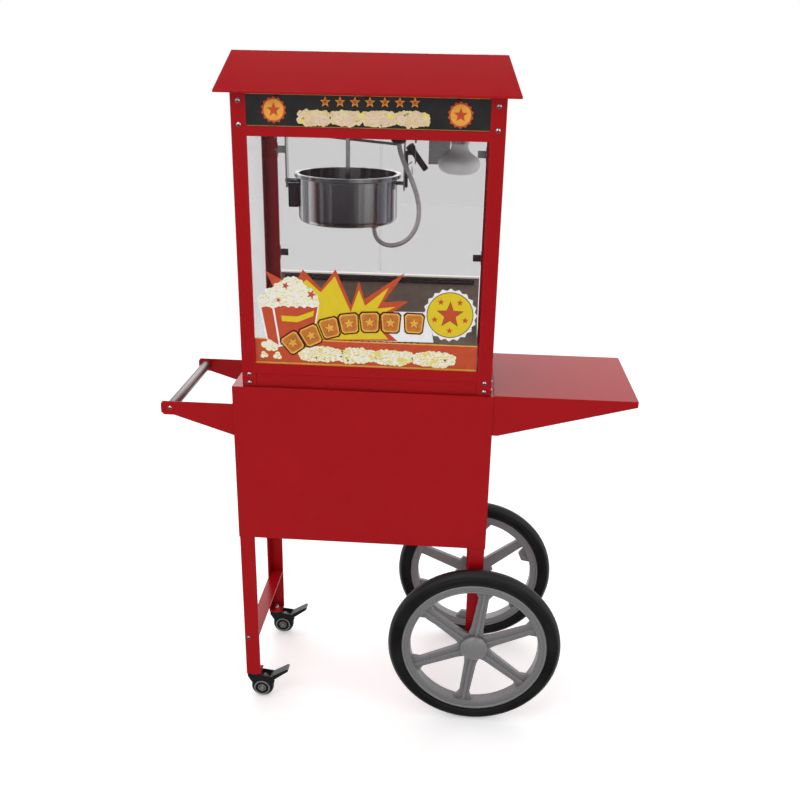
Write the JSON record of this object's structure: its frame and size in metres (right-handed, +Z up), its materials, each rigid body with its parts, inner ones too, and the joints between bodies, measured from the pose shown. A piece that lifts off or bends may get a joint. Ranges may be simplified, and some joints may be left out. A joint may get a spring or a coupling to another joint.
{
  "type": "popcorn maker on cart",
  "caption": "Red popcorn cabinet with a tilting kettle, heat lamp and glass doors, on a cart with big spoked wheels, casters, shelf and handle.",
  "frame": {"origin": "on the floor, under the middle of the overall box", "axes": "+X from the push handle to the side shelf, +Y from the customer side to the operator side, +Z up"},
  "size_m": [1.02, 0.3944, 1.477],
  "materials": {
    "red_paint": "gloss",
    "stainless": "satin",
    "chrome": "polished",
    "rim_paint": "satin",
    "tyre_rubber": "matte",
    "black_plastic": "matte",
    "clear_glass": "clear",
    "fascia": "gloss",
    "bulb_glass": "frosted",
    "bar_steel": "satin",
    "caster_black": "gloss",
    "switch_plastic": "gloss"
  },
  "bodies": {
    "root": {"cart_front_panel": "red_paint", "cart_left_panel": "red_paint", "cart_right_panel": "red_paint", "cart_rear_frame": "red_paint", "cart_floor": "red_paint", "cart_deck": "red_paint", "leg_front_left": "red_paint", "leg_rear_left": "red_paint", "leg_front_right": "red_paint", "leg_rear_right": "red_paint", "leg_stretcher": "red_paint", "side_shelf": "red_paint", "handle_arms": "red_paint", "corner_posts": "red_paint", "machine_base": "red_paint", "front_rail": "red_paint", "header_frame": "red_paint", "roof": "red_paint", "hinge_leaves": "chrome", "wheel_axle": "chrome", "screws": "chrome", "kettle_hangers": "chrome", "caster_front_mount": "chrome", "caster_rear_mount": "chrome", "handle_bar": "bar_steel", "popping_tray": "stainless", "header_floor": "stainless", "lamp_holder": "stainless", "header_fascia": "fascia", "front_glass": "clear_glass", "side_glass": "clear_glass", "gear_motor": "black_plastic", "heat_lamp": "bulb_glass"},
    "front_wheel": {"front_wheel_rim": "rim_paint", "front_wheel_tyre": "tyre_rubber", "front_hub_cap": "rim_paint"},
    "rear_wheel": {"rear_wheel_rim": "rim_paint", "rear_wheel_tyre": "tyre_rubber", "rear_hub_cap": "rim_paint"},
    "caster_front": {"caster_front_fork": "caster_black"},
    "caster_front_roller": {"caster_front_wheel": "caster_black"},
    "caster_front_brake": {"caster_front_pedal": "caster_black"},
    "caster_rear": {"caster_rear_fork": "caster_black"},
    "caster_rear_roller": {"caster_rear_wheel": "caster_black"},
    "caster_rear_brake": {"caster_rear_pedal": "caster_black"},
    "kettle": {"kettle_pot": "stainless", "kettle_terminal": "black_plastic", "kettle_handle": "black_plastic", "conduit": "stainless"},
    "stirring_sweep": {"stirrer": "stainless"},
    "drive_shaft": {"drive_rod": "stainless"},
    "glass_door_left": {"rear_door_left": "clear_glass", "door_fittings_left": "chrome"},
    "glass_door_right": {"rear_door_right": "clear_glass", "door_fittings_right": "chrome"},
    "cupboard_door": {"cart_door": "red_paint"},
    "drawer": {"crumb_drawer": "stainless"},
    "switch_motor": {"rocker_motor": "switch_plastic"},
    "switch_heat": {"rocker_heat": "switch_plastic"},
    "switch_lamp": {"rocker_lamp": "switch_plastic"}
  },
  "joints": [
    {"name": "front_wheel_spin", "type": "hinge", "parent": "root", "child": "front_wheel", "pos_m": [0.195, -0.1732, 0.2], "axis": [0, 1, 0], "continuous": true},
    {"name": "rear_wheel_spin", "type": "hinge", "parent": "root", "child": "rear_wheel", "pos_m": [0.195, 0.1732, 0.2], "axis": [0, 1, 0], "continuous": true},
    {"name": "caster_front_swivel", "type": "hinge", "parent": "root", "child": "caster_front", "pos_m": [-0.3325, -0.1375, 0.06], "axis": [0, 0, 1], "continuous": true},
    {"name": "caster_front_roll", "type": "hinge", "parent": "caster_front", "child": "caster_front_roller", "pos_m": [-0.3145, -0.1375, 0.027], "axis": [0, 1, 0], "continuous": true},
    {"name": "caster_front_pedal", "type": "hinge", "parent": "caster_front", "child": "caster_front_brake", "pos_m": [-0.2905, -0.1375, 0.053], "axis": [0, 1, 0], "range_deg": [0, 12]},
    {"name": "caster_rear_swivel", "type": "hinge", "parent": "root", "child": "caster_rear", "pos_m": [-0.3325, 0.1375, 0.06], "axis": [0, 0, 1], "continuous": true},
    {"name": "caster_rear_roll", "type": "hinge", "parent": "caster_rear", "child": "caster_rear_roller", "pos_m": [-0.3145, 0.1375, 0.027], "axis": [0, 1, 0], "continuous": true},
    {"name": "caster_rear_pedal", "type": "hinge", "parent": "caster_rear", "child": "caster_rear_brake", "pos_m": [-0.2905, 0.1375, 0.053], "axis": [0, 1, 0], "range_deg": [0, 12]},
    {"name": "kettle_tilt", "type": "hinge", "parent": "root", "child": "kettle", "pos_m": [-0.119, 0, 1.222], "axis": [1, 0, 0], "range_deg": [0, 50], "deforming": ["conduit"]},
    {"name": "stirrer_spin", "type": "hinge", "parent": "kettle", "child": "stirring_sweep", "pos_m": [-0.119, 0, 1.18], "axis": [0, 0, 1], "continuous": true},
    {"name": "drive_spin", "type": "hinge", "parent": "root", "child": "drive_shaft", "pos_m": [-0.119, 0, 1.29], "axis": [0, 0, 1], "continuous": true},
    {"name": "glass_door_left_swing", "type": "hinge", "parent": "root", "child": "glass_door_left", "pos_m": [-0.2995, 0.154, 1.15], "axis": [0, 0, 1], "range_deg": [0, 110]},
    {"name": "glass_door_right_swing", "type": "hinge", "parent": "root", "child": "glass_door_right", "pos_m": [0.1735, 0.154, 1.15], "axis": [0, 0, -1], "range_deg": [0, 110]},
    {"name": "cupboard_door_swing", "type": "hinge", "parent": "root", "child": "cupboard_door", "pos_m": [-0.29, 0.1595, 0.62], "axis": [0, 0, 1], "range_deg": [0, 110]},
    {"name": "drawer_slide", "type": "slide", "parent": "root", "child": "drawer", "axis": [0, 1, 0], "range_m": [0, 0.18]},
    {"name": "motor_rocker", "type": "hinge", "parent": "root", "child": "switch_motor", "pos_m": [-0.123, 0.148, 1.362], "axis": [1, 0, 0], "range_deg": [-8, 8]},
    {"name": "heat_rocker", "type": "hinge", "parent": "root", "child": "switch_heat", "pos_m": [-0.063, 0.148, 1.362], "axis": [1, 0, 0], "range_deg": [-8, 8]},
    {"name": "lamp_rocker", "type": "hinge", "parent": "root", "child": "switch_lamp", "pos_m": [-0.003, 0.148, 1.362], "axis": [1, 0, 0], "range_deg": [-8, 8]}
  ],
  "couplings": [
    {"joint": "drive_spin", "follows": "stirrer_spin", "ratio": 1}
  ]
}
